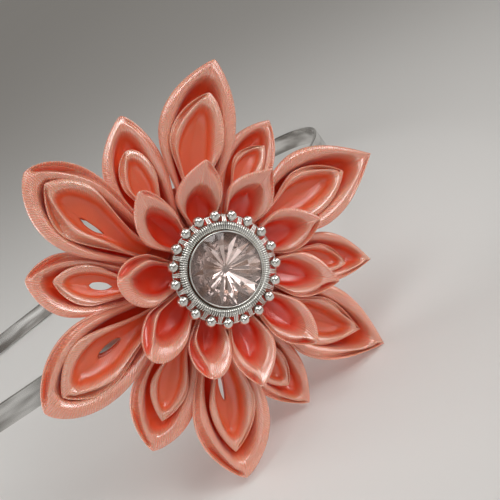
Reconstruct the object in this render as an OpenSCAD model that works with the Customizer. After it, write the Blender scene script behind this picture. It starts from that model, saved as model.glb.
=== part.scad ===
// Kanzashi headband: a flower of folded satin petals with a crystal and a
// ring of silver beads at its heart, fixed to the side of a flat steel band.
// Millimetres, +Z up, at rest on a table. Each petal is one thin fold of cloth:
// a section swept round an eye-shaped outline, tip outermost, both ends of the
// cloth meeting along a slit in the floor of its bowl.

/* [Steel band] */
// Width of the flat steel strip
band_w = 5; // [4:0.5:8]
// Thickness of the strip
band_t = 0.9; // [0.7:0.1:1.4]
// Half width of the U at the ears
band_half = 62.5; // [55:0.5:70]
// Height of the crown arch above the ears
band_arch = 54; // [45:0.5:60]
// Length of each arm below the arch
band_arm = 76; // [60:1:90]
// How far each arm end turns inward
band_toe = 14; // [5:1:22]
// Where the flower sits, degrees down from the crown
flower_at = 68; // [50:1:80]

/* [Flower] */
// Turn of the band behind the flower, degrees
band_turn = 39; // [0:1:90]
// Half the gap along the floor of each bowl
slit = 0.15; // [0.1:0.01:0.3]
// Thickness of the folded cloth
sheet_t = 1.0; // [1:0.05:2]
// Radius of the backing disc
backing_r = 19; // [16:0.5:22]
// Thickness of the backing disc
backing_t = 1.0; // [0.8:0.1:2]

/* [Jewel] */
// Radius of the crystal at its girdle
crystal_r = 6.95; // [5:0.05:8]
// Facets round the crystal
crystal_n = 16; // [8:2:24]
// Silver beads round the jewel
bead_count = 19; // [12:1:24]
// Radius of one bead
bead_r = 1.03; // [0.8:0.01:1.2]
// Radius of the ring of beads
bead_ring_r = 10.05; // [9:0.05:12]
// Turn of the ring of beads, degrees
bead_turn = -2; // [-10:0.5:10]
// Radius of the wire-wrapped ring
wrap_ring_r = 8.25; // [7:0.05:9]
// Half the thickness of the wrapped ring
wrap_rod_r = 0.68; // [0.5:0.01:0.8]

/* [Rest] */
// Turn about the flower's x axis that lays it down
rest_x = 72.0251; // [-180:0.0001:180]
// Turn about the y axis
rest_y = 40.7431; // [-180:0.0001:180]
// Turn about the vertical
rest_z = 5.7138; // [-180:0.0001:180]

/* [Hidden] */
rest_shift = [27.4409, -51.5546, 33.2966];
satin = [0.95, 0.62, 0.52];
satin_in = [0.93, 0.56, 0.46];
felt = [0.93, 0.72, 0.64];
silver = [0.86, 0.86, 0.86];
steel = [0.72, 0.72, 0.73];
pink_glass = [0.93, 0.82, 0.8];

// Section of the folded cloth, one row per fold line, outside to inside.
// across: share of the half width, measured in from the outline
// reach: how far the line stays behind the petal's tip, in half widths
// drop: share of the petal's depth below the rim
// upper: 1 on the face that shows, 0 underneath
// lip_across, lip_drop: the same where the second lip runs beside the rim
FOLD = [
  // across, reach, drop, upper, lip_across, lip_drop
  [1.00, 0.78, 1.00, 0, 1.00, 1.00], // keel
  [0.58, 0.48, 0.84, 0, 0.58, 0.84], // lower wall
  [0.24, 0.20, 0.50, 0, 0.24, 0.50], // wall
  [0.00, 0.00, 0.17, 0, 0.00, 0.17], // shoulder
  [0.03, 0.03, 0.07, 1, 0.05, 0.02], // lip
  [0.06, 0.07, 0.02, 1, 0.11, 0.13], // groove behind the lip
  [0.11, 0.14, 0.00, 1, 0.20, 0.00], // rim
  [0.24, 0.30, 0.09, 1, 0.31, 0.09], // inner shoulder
  [0.40, 0.48, 0.44, 1, 0.43, 0.44], // upper bowl
  [0.62, 0.70, 0.80, 1, 0.62, 0.80], // lower bowl
  [1.00, 0.95, 1.00, 1, 1.00, 1.00]  // floor
];

// Each kind of petal: rim height at tip, middle and base, depth at tip,
// middle and base, cloth thickness, base radius, base width share
LARGE_OUT = [6.0, 7.0, 3.2, 3.4, 6.6, 2.9, 1.05 * sheet_t, 8.5, 0.22];
SMALL_OUT = [3.4, 5.0, 3.0, 2.4, 4.6, 2.7, sheet_t, 8.5, 0.22];
LARGE_IN = [5.8, 6.8, 4.7, 2.2, 4.5, 2.7, sheet_t, 13.0, 0.22];
SMALL_IN = [3.6, 4.8, 4.1, 1.5, 2.9, 2.2, sheet_t, 13.5, 0.20];
UPPER = [13.2, 10.6, 8.4, 2.8, 5.0, 2.6, sheet_t, 6.0, 0.30];

// Places along the petal, 0 at the tip and 1 at the base
LONG_STEPS = [0, 0.05, 0.15, 0.3, 0.46, 0.62, 0.8, 1];
SHORT_STEPS = [0, 0.07, 0.22, 0.46, 0.62, 0.8, 1];
UPPER_STEPS = [0, 0.06, 0.17, 0.34, 0.54, 0.77, 1];

// Petals, one row each: tip angle, tip radius, half width, base angle, bow
// sideways, widest place, fullness, lift, half width of the hole in the floor
LARGE_OUTER = [
  [  90.5, 40.5, 7.60,  105.0,  2.77, 0.44, 0.85, 0.0, 0.00],
  [  35.6, 41.1, 8.03,   38.0,  1.58, 0.49, 1.00, 0.0, 0.00],
  [ -22.6, 39.3, 7.53,  -28.6, -0.62, 0.50, 1.00, 0.0, 0.00],
  [ -81.1, 40.6, 7.60,  -87.6, -1.03, 0.39, 0.79, 0.0, 0.30],
  [-141.2, 40.9, 7.72, -142.5, -1.35, 0.39, 0.67, 0.0, 0.90],
  [ 154.4, 39.6, 7.50,  167.4,  1.40, 0.35, 0.66, 0.0, 0.30],
];

LARGE_INNER = [
  [  92.6, 33.8, 5.36,  106.9,  1.69, 0.47, 0.74, 0.6, 0.00],
  [  36.4, 33.7, 4.96,   41.5,  0.76, 0.49, 0.84, 0.0, 0.00],
  [ -21.4, 33.1, 4.84,  -24.1, -1.39, 0.49, 1.05, 0.0, 0.00],
  [ -83.3, 35.2, 4.19,  -87.0,  0.52, 0.43, 0.87, 0.0, 0.30],
  [-141.6, 36.8, 5.18, -143.0, -0.90, 0.35, 0.79, 0.4, 0.65],
  [ 154.8, 35.6, 5.20,  166.5,  1.24, 0.33, 0.79, 0.7, 0.30],
];

SMALL_OUTER = [
  [  68.3, 32.2, 5.30,   71.2,  1.31, 0.43, 0.88, 0.0, 0.00],
  [   3.7, 34.7, 5.11,    6.0,  0.95, 0.43, 1.00, 0.0, 0.00],
  [ -52.4, 33.8, 5.58,  -58.3, -1.50, 0.45, 0.88, 0.0, 0.00],
  [-108.8, 36.1, 6.50, -112.9, -1.38, 0.36, 0.77, 0.0, 0.00],
  [-176.5, 35.3, 5.94, -164.0,  0.81, 0.30, 0.72, 0.0, 1.00],
  [ 122.2, 34.0, 6.17,  134.7,  2.90, 0.44, 0.77, 0.0, 0.00],
];

SMALL_INNER = [
  [  66.8, 26.7, 3.11,   73.5,  1.40, 0.43, 0.85, 0.7, 0.00],
  [   2.6, 28.4, 2.98,   10.4,  0.53, 0.43, 0.88, 0.6, 0.00],
  [ -55.4, 28.0, 3.38,  -58.5, -0.73, 0.45, 0.80, 0.0, 0.00],
  [-109.2, 30.3, 3.73, -114.2, -0.58, 0.40, 0.87, 0.0, 0.00],
  [-175.7, 30.5, 3.82, -165.7,  0.30, 0.37, 0.75, 0.4, 0.75],
  [ 126.9, 27.9, 3.58,  137.1,  0.81, 0.41, 0.58, 0.1, 0.00],
];

TOP_PETALS = [
  [ 102.1, 20.4, 4.56,  112.0,  1.42, 0.44, 0.81, 0.0, 0.00],
  [  65.2, 21.0, 4.49,   74.9,  0.55, 0.45, 1.01, 0.0, 0.00],
  [  27.5, 21.1, 4.28,   38.8,  0.28, 0.44, 0.85, 0.0, 0.00],
  [  -5.6, 22.7, 4.37,    0.3,  0.32, 0.43, 0.92, 0.0, 0.00],
  [ -37.4, 22.7, 4.21,  -35.6,  0.29, 0.41, 0.78, 0.0, 0.00],
  [ -72.2, 22.9, 4.60,  -73.3,  1.02, 0.43, 0.87, 0.0, 0.00],
  [ -97.6, 20.2, 4.20, -107.2, -0.37, 0.40, 0.67, 0.0, 0.00],
  [-131.5, 21.7, 4.49, -145.6, -0.32, 0.41, 0.63, 0.0, 0.00],
  [-173.2, 20.6, 4.85, -177.1,  0.59, 0.43, 0.68, 0.0, 0.00],
  [ 141.0, 21.6, 4.11,  145.3,  1.55, 0.47, 0.86, 0.0, 0.00],
];

// The lip runs along this much of the edge: starts, full, fades, gone
LIP_RUN = [0, 0.08, 0.25, 0.75];
// Where a hole in the floor sits and how far it reaches
HOLE_AT = 0.46;
HOLE_SPAN = 0.16;
// How fast a petal narrows towards its base
TAPER = 0.8;

function ease(x) = let (c = max(0, min(1, x))) c * c * (3 - 2 * c);
function through(s, tip, mid, base) =
  tip * (1 - s) * (1 - 2 * s) + 4 * mid * s * (1 - s) + base * s * (2 * s - 1);
function eye(s, widest, full, base_w) = s <= widest
  ? sin(90 * pow(s / widest, full))
  : base_w + (1 - base_w) * pow(cos(90 * pow((s - widest) / (1 - widest), TAPER)), 2);
function polar(r, a) = [r * cos(a), r * sin(a)];
function lip_at(s) = ease((s - LIP_RUN[0]) / (LIP_RUN[1] - LIP_RUN[0]))
  * (1 - ease((s - LIP_RUN[2]) / (LIP_RUN[3] - LIP_RUN[2])));

// One point of a petal: fold row f, place s, side -1, 0 or 1, lip share k
function petal_point(p, kind, f, s, side, k) =
  let (
    tip = polar(p[1], p[0]),
    base = polar(kind[7], p[3]),
    run = norm(base - tip),
    e1 = (base - tip) / run,
    e2 = [e1[1], -e1[0]],
    across = f[0] + (f[4] - f[0]) * k,
    drop = f[2] + (f[5] - f[2]) * k,
    along = f[1] * p[2] + (run - f[1] * p[2]) * s,
    t = along / run,
    hole = across == 1 ? p[8] * ease(1 - abs(s - HOLE_AT) / HOLE_SPAN) : 0,
    half = slit + max(p[2] * (1 - across) - slit, 0) * eye(s, p[5], p[6], kind[8]) + hole,
    cloth = f[3] == 1 && drop > 0.3 ? kind[6] : 0,
    depth = through(t, kind[3], kind[4], kind[5]) - cloth,
    z = through(t, kind[0], kind[1], kind[2]) - drop * depth + p[7],
    xy = tip + e1 * along + e2 * (4 * p[4] * t * (1 - t) + side * half)
  ) [xy[0], xy[1], z];

// Two ends of the tube of cloth closed by strips across the section
function cap_tri(o, lo, hi) = hi - lo < 2 ? [] : (hi - lo) % 2 == 0
  ? concat([[o + lo, o + lo + 1, o + hi]], cap_tri(o, lo + 1, hi))
  : concat([[o + lo, o + hi - 1, o + hi]], cap_tri(o, lo, hi - 1));

module petal(p, kind, steps, lip_side) {
  n = len(steps);
  k = len(FOLD);
  path = [for (i = [0 : 2 * n - 2]) i < n - 1 ? [steps[n - 1 - i], -1]
    : i == n - 1 ? [0, 0] : [steps[i - n + 1], 1]];
  points = [for (q = path) for (f = FOLD)
    petal_point(p, kind, f, q[0], q[1], q[1] == lip_side ? lip_at(q[0]) : 0)];
  last = len(path) - 1;
  sides = [for (i = [0 : last - 1]) for (j = [0 : k - 1])
    let (a = i * k + j, b = i * k + (j + 1) % k, c = a + k, d = b + k)
    each [[a, b, c], [b, d, c]]];
  ends = concat([for (t = cap_tri(0, 0, k - 1)) [t[0], t[2], t[1]]], cap_tri(last * k, 0, k - 1));
  polyhedron(points = points, faces = concat(sides, ends));
}

// Centre line of the band in its own plane: x along the strip towards the
// crown, y out towards the flower
U_STEPS = 24;
ARM_STEPS = 10;
arch_line = [for (i = [-U_STEPS : U_STEPS]) let (a = 90 * i / U_STEPS) [band_arch * cos(a), band_half * sin(a)]];
function arm_line(side, i) = let (s = i / ARM_STEPS) [-band_arm * s, side * (band_half - band_toe * s * s)];
u_line = concat([for (i = [ARM_STEPS : -1 : 1]) arm_line(-1, i)], arch_line, [for (i = [1 : ARM_STEPS]) arm_line(1, i)]);
seat = [band_arch * cos(flower_at), band_half * sin(flower_at)];
out_raw = [band_half * cos(flower_at), band_arch * sin(flower_at)];
out_dir = out_raw / norm(out_raw);
strip_dir = [out_dir[1], -out_dir[0]];
band_z = -1.7;
line = [for (q = u_line) [(q - seat) * strip_dir, (q - seat) * out_dir + band_z]];
function line_dir(i) = let (a = line[max(i - 1, 0)], b = line[min(i + 1, len(line) - 1)]) (b - a) / norm(b - a);
function beside(i, d) = line[i] + d * [-line_dir(i)[1], line_dir(i)[0]];

// Ring of n points for the cut stone
function stone_ring(r, z, twist) = [for (i = [0 : crystal_n - 1])
  let (a = 360 * (i + twist) / crystal_n) [r * cos(a), r * sin(a), z]];
STONE = [
  // radius, height, turn in steps
  [1.30, 13.35, 0.0], // table
  [4.10, 12.85, 0.5], // star
  [crystal_r, 11.80, 0.0], // girdle, top
  [crystal_r, 11.50, 0.0], // girdle, foot
  [4.40, 10.75, 0.5], // pavilion
  [1.40, 10.45, 0.0]  // flat foot
];
jewel_z = 11.2;

module at_rest() { translate(rest_shift) rotate([rest_x, rest_y, rest_z]) children(); }

module steel_band() {
  n = len(line);
  color(steel) at_rest() rotate([90, 0, band_turn]) {
    linear_extrude(height = band_w, center = true)
      polygon(concat([for (i = [0 : n - 1]) beside(i, band_t / 2)], [for (i = [n - 1 : -1 : 0]) beside(i, -band_t / 2)]));
    for (i = [0, n - 1]) {
      d = line_dir(i);
      translate([line[i][0], line[i][1], 0]) rotate([0, 0, atan2(d[1], d[0])]) rotate([90, 0, 0])
        cylinder(r = band_w / 2, h = band_t, center = true, $fn = 48);
    }
  }
}

module backing_disc() {
  color(felt) at_rest() translate([0, 0, -0.15 - backing_t]) cylinder(r = backing_r, h = backing_t, $fn = 96);
}

module jewel_base() {
  color(felt) at_rest() translate([0, 0, 9.45]) cylinder(r = 9, h = 0.5, $fn = 96);
}

module crystal_setting() {
  color(silver) at_rest() rotate_extrude($fn = 96) polygon([
    [4.8, 10.0], [7.3, 10.0], [7.42, 10.15], [7.42, 12.0], [7.3, 12.15], [7.16, 12.15], [7.08, 12.0], [7.08, 10.25], [4.8, 10.25]
  ]);
}

module wrapped_ring() {
  color(silver) at_rest() translate([0, 0, jewel_z]) rotate_extrude($fn = 96)
    translate([wrap_ring_r, 0]) circle(r = wrap_rod_r, $fn = 32);
}

module silver_beads() {
  color(silver) at_rest() for (i = [0 : bead_count - 1]) rotate([0, 0, 360 * (i + 0.5) / bead_count + bead_turn])
    translate([bead_ring_r, 0, jewel_z]) difference() {
      sphere(r = bead_r, $fn = 48);
      rotate([90, 0, 0]) cylinder(r = 0.26, h = 3 * bead_r, center = true, $fn = 24);
    }
}

module bead_wire() {
  color(silver) at_rest() {
    translate([0, 0, jewel_z]) rotate_extrude($fn = 96) translate([bead_ring_r, 0]) circle(r = 0.15, $fn = 24);
    for (i = [0 : bead_count - 1]) rotate([0, 0, 360 * i / bead_count + bead_turn])
      translate([wrap_ring_r + wrap_rod_r + 0.1, 0, jewel_z]) rotate([0, 90, 0])
        cylinder(r = 0.28, h = bead_ring_r - wrap_ring_r - wrap_rod_r - 0.1, $fn = 24);
  }
}

module crystal() {
  n = crystal_n;
  rows = len(STONE);
  points = [for (q = STONE) each stone_ring(q[0], q[1], q[2])];
  walls = [for (j = [0 : rows - 2]) for (i = [0 : n - 1])
    let (a = j * n + i, b = j * n + (i + 1) % n, c = a + n, d = b + n)
    each (STONE[j + 1][2] > STONE[j][2] ? [[a, b, c], [b, d, c]] : STONE[j + 1][2] < STONE[j][2]
      ? [[a, b, d], [a, d, c]] : [[a, b, d, c]])];
  color(pink_glass) at_rest() polyhedron(points = points,
    faces = concat(walls, [[for (i = [n - 1 : -1 : 0]) i]], [[for (i = [0 : n - 1]) (rows - 1) * n + i]]));
}

module large_outer_1() { color(satin) at_rest() petal(LARGE_OUTER[0], LARGE_OUT, LONG_STEPS, -1); }
module large_outer_2() { color(satin) at_rest() petal(LARGE_OUTER[1], LARGE_OUT, LONG_STEPS, -1); }
module large_outer_3() { color(satin) at_rest() petal(LARGE_OUTER[2], LARGE_OUT, LONG_STEPS, -1); }
module large_outer_4() { color(satin) at_rest() petal(LARGE_OUTER[3], LARGE_OUT, LONG_STEPS, -1); }
module large_outer_5() { color(satin) at_rest() petal(LARGE_OUTER[4], LARGE_OUT, LONG_STEPS, -1); }
module large_outer_6() { color(satin) at_rest() petal(LARGE_OUTER[5], LARGE_OUT, LONG_STEPS, -1); }
module large_inner_1() { color(satin_in) at_rest() petal(LARGE_INNER[0], LARGE_IN, LONG_STEPS, 1); }
module large_inner_2() { color(satin_in) at_rest() petal(LARGE_INNER[1], LARGE_IN, LONG_STEPS, 1); }
module large_inner_3() { color(satin_in) at_rest() petal(LARGE_INNER[2], LARGE_IN, LONG_STEPS, 1); }
module large_inner_4() { color(satin_in) at_rest() petal(LARGE_INNER[3], LARGE_IN, LONG_STEPS, 1); }
module large_inner_5() { color(satin_in) at_rest() petal(LARGE_INNER[4], LARGE_IN, LONG_STEPS, 1); }
module large_inner_6() { color(satin_in) at_rest() petal(LARGE_INNER[5], LARGE_IN, LONG_STEPS, 1); }
module small_outer_1() { color(satin) at_rest() petal(SMALL_OUTER[0], SMALL_OUT, LONG_STEPS, -1); }
module small_outer_2() { color(satin) at_rest() petal(SMALL_OUTER[1], SMALL_OUT, LONG_STEPS, -1); }
module small_outer_3() { color(satin) at_rest() petal(SMALL_OUTER[2], SMALL_OUT, LONG_STEPS, -1); }
module small_outer_4() { color(satin) at_rest() petal(SMALL_OUTER[3], SMALL_OUT, LONG_STEPS, -1); }
module small_outer_5() { color(satin) at_rest() petal(SMALL_OUTER[4], SMALL_OUT, LONG_STEPS, -1); }
module small_outer_6() { color(satin) at_rest() petal(SMALL_OUTER[5], SMALL_OUT, LONG_STEPS, -1); }
module small_inner_1() { color(satin_in) at_rest() petal(SMALL_INNER[0], SMALL_IN, SHORT_STEPS, 1); }
module small_inner_2() { color(satin_in) at_rest() petal(SMALL_INNER[1], SMALL_IN, SHORT_STEPS, 1); }
module small_inner_3() { color(satin_in) at_rest() petal(SMALL_INNER[2], SMALL_IN, SHORT_STEPS, 1); }
module small_inner_4() { color(satin_in) at_rest() petal(SMALL_INNER[3], SMALL_IN, SHORT_STEPS, 1); }
module small_inner_5() { color(satin_in) at_rest() petal(SMALL_INNER[4], SMALL_IN, SHORT_STEPS, 1); }
module small_inner_6() { color(satin_in) at_rest() petal(SMALL_INNER[5], SMALL_IN, SHORT_STEPS, 1); }
module top_petal_1() { color(satin) at_rest() petal(TOP_PETALS[0], UPPER, UPPER_STEPS, -1); }
module top_petal_2() { color(satin) at_rest() petal(TOP_PETALS[1], UPPER, UPPER_STEPS, -1); }
module top_petal_3() { color(satin) at_rest() petal(TOP_PETALS[2], UPPER, UPPER_STEPS, -1); }
module top_petal_4() { color(satin) at_rest() petal(TOP_PETALS[3], UPPER, UPPER_STEPS, -1); }
module top_petal_5() { color(satin) at_rest() petal(TOP_PETALS[4], UPPER, UPPER_STEPS, -1); }
module top_petal_6() { color(satin) at_rest() petal(TOP_PETALS[5], UPPER, UPPER_STEPS, -1); }
module top_petal_7() { color(satin) at_rest() petal(TOP_PETALS[6], UPPER, UPPER_STEPS, -1); }
module top_petal_8() { color(satin) at_rest() petal(TOP_PETALS[7], UPPER, UPPER_STEPS, -1); }
module top_petal_9() { color(satin) at_rest() petal(TOP_PETALS[8], UPPER, UPPER_STEPS, -1); }
module top_petal_10() { color(satin) at_rest() petal(TOP_PETALS[9], UPPER, UPPER_STEPS, -1); }

large_outer_1();
large_outer_2();
large_outer_3();
large_outer_4();
large_outer_5();
large_outer_6();
large_inner_1();
large_inner_2();
large_inner_3();
large_inner_4();
large_inner_5();
large_inner_6();
small_outer_1();
small_outer_2();
small_outer_3();
small_outer_4();
small_outer_5();
small_outer_6();
small_inner_1();
small_inner_2();
small_inner_3();
small_inner_4();
small_inner_5();
small_inner_6();
top_petal_1();
top_petal_2();
top_petal_3();
top_petal_4();
top_petal_5();
top_petal_6();
top_petal_7();
top_petal_8();
top_petal_9();
top_petal_10();
backing_disc();
steel_band();
jewel_base();
crystal();
crystal_setting();
wrapped_ring();
silver_beads();
bead_wire();
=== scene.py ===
"""Headband with a folded satin flower: the looks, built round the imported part.

The flower is described in its own frame, in millimetres: x to the right and y up on
the flower's face, z out of it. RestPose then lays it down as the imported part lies.
"""

from __future__ import annotations

import logging
import math
from dataclasses import dataclass
from enum import Enum
from typing import Sequence, Union

import bpy
import numpy as np
from mathutils import Matrix, Vector

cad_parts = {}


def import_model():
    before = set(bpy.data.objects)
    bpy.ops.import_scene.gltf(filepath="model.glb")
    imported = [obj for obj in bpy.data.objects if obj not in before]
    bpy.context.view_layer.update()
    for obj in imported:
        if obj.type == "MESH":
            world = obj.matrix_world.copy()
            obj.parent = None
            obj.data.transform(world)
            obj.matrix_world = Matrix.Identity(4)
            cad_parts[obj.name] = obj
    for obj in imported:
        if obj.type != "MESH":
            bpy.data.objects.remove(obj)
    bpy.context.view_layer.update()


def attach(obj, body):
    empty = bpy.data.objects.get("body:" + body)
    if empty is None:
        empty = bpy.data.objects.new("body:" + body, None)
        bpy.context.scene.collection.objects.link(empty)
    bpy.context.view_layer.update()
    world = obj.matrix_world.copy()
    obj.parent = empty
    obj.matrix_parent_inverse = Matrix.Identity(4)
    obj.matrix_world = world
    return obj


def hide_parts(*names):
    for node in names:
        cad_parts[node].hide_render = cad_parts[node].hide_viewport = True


log = logging.getLogger("headband")
MM = 0.001
BODY = "root"
Pair = tuple[float, float]
Triple = tuple[float, float, float]
Quad = tuple[int, int, int, int]
Colour = tuple[float, float, float, float]
Value = Union[float, int, tuple, "Wire", bpy.types.NodeSocket]


# Where things lie


def turn(axis: int, degrees: float) -> np.ndarray:
    """Makes the matrix of a turn about one axis.

    Args:
        axis: 0, 1 or 2 for x, y or z.
        degrees: the angle by the right-hand rule.

    Returns:
        A 3 by 3 matrix.
    """
    c, s = math.cos(math.radians(degrees)), math.sin(math.radians(degrees))
    i, j = [(1, 2), (2, 0), (0, 1)][axis]
    matrix = np.eye(3)
    matrix[i, i] = matrix[j, j] = c
    matrix[i, j], matrix[j, i] = -s, s
    return matrix


@dataclass(frozen=True)
class RestPose:
    """How the headband lies on the table: on a petal's tip and its far arm."""

    turn_x: float = 72.0251
    turn_y: float = 40.7431
    turn_z: float = 5.7138
    shift: Triple = (27.4409, -51.5546, 33.2966)

    def matrix(self) -> np.ndarray:
        """The turn from the flower's frame to the part's."""
        return turn(2, self.turn_z) @ turn(1, self.turn_y) @ turn(0, self.turn_x)

    def place(self, points: np.ndarray) -> np.ndarray:
        """Points of the flower's frame, in millimetres, as points of the part, in metres."""
        return (points @ self.matrix().T + np.array(self.shift)) * MM

    def as_matrix(self) -> Matrix:
        """Makes the same move as one matrix, for meshes made in the flower's frame.

        Returns:
            A 4 by 4 matrix.
        """
        whole = np.eye(4)
        whole[:3, :3] = self.matrix() * MM
        whole[:3, 3] = np.array(self.shift) * MM
        return Matrix(whole.tolist())


REST = RestPose()


@dataclass(frozen=True)
class PhotoCamera:
    """The camera that saw the flower, fitted to its jewel, petals and strip."""

    focal_share: float = 1.67862
    pitch: float = -1.6444
    yaw: float = 20.1853
    distance: float = 165.615
    across: float = -8.423
    up: float = -3.856
    sensor: float = 36.0
    nearest: float = 0.005
    farthest: float = 20.0

    def build(self) -> None:
        """Adds the camera and makes it the scene's."""
        seen = turn(0, self.pitch) @ turn(1, self.yaw)
        place = REST.place(seen.T @ np.array([-self.across, -self.up, self.distance]))
        axes = np.eye(4)
        axes[:3, :3] = REST.matrix() @ seen.T
        axes[:3, 3] = place
        data = bpy.data.cameras.new("photo_camera")
        data.sensor_width = self.sensor
        data.lens = self.focal_share * self.sensor
        data.clip_start, data.clip_end = self.nearest, self.farthest
        camera = bpy.data.objects.new("photo_camera", data)
        bpy.context.scene.collection.objects.link(camera)
        camera.matrix_world = Matrix(axes.tolist())
        bpy.context.scene.camera = camera


# Shader and geometry nodes


class Wire:
    """A value running through a node tree; arithmetic on it adds Math nodes."""

    def __init__(self, bench: "Bench", socket: bpy.types.NodeSocket) -> None:
        """Keeps the bench that the value is on and its socket."""
        self.bench = bench
        self.socket = socket

    def _math(self, operation: str, *values: Value) -> "Wire":
        """One Math node on these values."""
        return self.bench.add("ShaderNodeMath", {"operation": operation}, dict(enumerate(values)))

    def __add__(self, other: Value) -> "Wire":
        """Sum."""
        return self._math("ADD", self, other)

    __radd__ = __add__

    def __sub__(self, other: Value) -> "Wire":
        """Difference."""
        return self._math("SUBTRACT", self, other)

    def __rsub__(self, other: Value) -> "Wire":
        """Reflected difference, as in 1 - mask."""
        return self._math("SUBTRACT", other, self)

    def __mul__(self, other: Value) -> "Wire":
        """Product."""
        return self._math("MULTIPLY", self, other)

    __rmul__ = __mul__

    def __truediv__(self, other: Value) -> "Wire":
        """Quotient."""
        return self._math("DIVIDE", self, other)

    def wave(self, pitch: float) -> "Wire":
        """A sine wave from 0 to 1 that repeats after this pitch."""
        return self._math("SINE", self * (math.tau / pitch)) * 0.5 + 0.5

    def smooth(self, low: float, high: float) -> "Wire":
        """0 below low, 1 above high and a smooth step between."""
        values = {"Value": self, "From Min": low, "From Max": high}
        return self.bench.add("ShaderNodeMapRange", {"interpolation_type": "SMOOTHSTEP"}, values)


class Bench:
    """Adds nodes to one tree, for a material or for a geometry tree."""

    def __init__(self, tree: bpy.types.NodeTree) -> None:
        """Keeps the tree."""
        self.tree = tree

    def add(self, kind: str, settings: dict, values: dict, output: Union[int, str] = 0) -> Wire:
        """Adds one node, its settings first and then the values or links of its sockets.

        Args:
            kind: the node's type.
            settings: properties of the node.
            values: input name or number to a number, colour, socket or Wire.
            output: the output wanted.

        Returns:
            The wanted output.
        """
        node = self.tree.nodes.new(kind)
        for name, value in settings.items():
            setattr(node, name, value)
        for key, value in values.items():
            self.feed(node.inputs[key], value)
        return Wire(self, node.outputs[output])

    def feed(self, socket: bpy.types.NodeSocket, value: Value) -> None:
        """Sets a socket to a value, or links it.

        Args:
            socket: the input.
            value: a number, colour, socket or Wire.
        """
        if isinstance(value, Wire):
            value = value.socket
        if isinstance(value, bpy.types.NodeSocket):
            self.tree.links.new(value, socket)
        else:
            socket.default_value = value

    def blend(self, share: Value, first: Value, second: Value) -> Wire:
        """Mixes two colours; 6, 7 and 2 are the Mix node's colour sockets."""
        return self.add("ShaderNodeMix", {"data_type": "RGBA"}, {0: share, 6: first, 7: second}, 2)

    def noise(self, where: Value, scale: float, detail: float = 3.0, rough: float = 0.5) -> Wire:
        """Noise from 0 to 1 on these coordinates."""
        values = {"Vector": where, "Scale": scale, "Detail": detail, "Roughness": rough}
        return self.add("ShaderNodeTexNoise", {}, values)

    def stretched(self, where: Value, scale: Triple) -> Wire:
        """The coordinates times these three factors."""
        return self.add("ShaderNodeMapping", {}, {"Vector": where, "Scale": scale})

    def object_place(self) -> Wire:
        """The point on the piece in its own coordinates, in metres."""
        return self.add("ShaderNodeTexCoord", {}, {}, "Object")

    def bump(self, height: Value, strength: float, distance: float) -> Wire:
        """A Bump node; distance is in millimetres."""
        values = {"Height": height, "Strength": strength, "Distance": distance * MM}
        return self.add("ShaderNodeBump", {}, values)

    def paint(self, shader: bpy.types.Node, looks: dict[str, Value]) -> None:
        """Sets or links the shader's sockets by name."""
        for socket, value in looks.items():
            self.feed(shader.inputs[socket], value)


def new_material(name: str) -> tuple[bpy.types.Material, Bench, bpy.types.Node]:
    """Makes a material with one Principled shader.

    Args:
        name: what the finish is called.

    Returns:
        The material, a bench on its tree, and the shader node.
    """
    material = bpy.data.materials.new(name)
    material.use_nodes = True
    shader = next(n for n in material.node_tree.nodes if n.type == "BSDF_PRINCIPLED")
    return material, Bench(material.node_tree), shader


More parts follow.
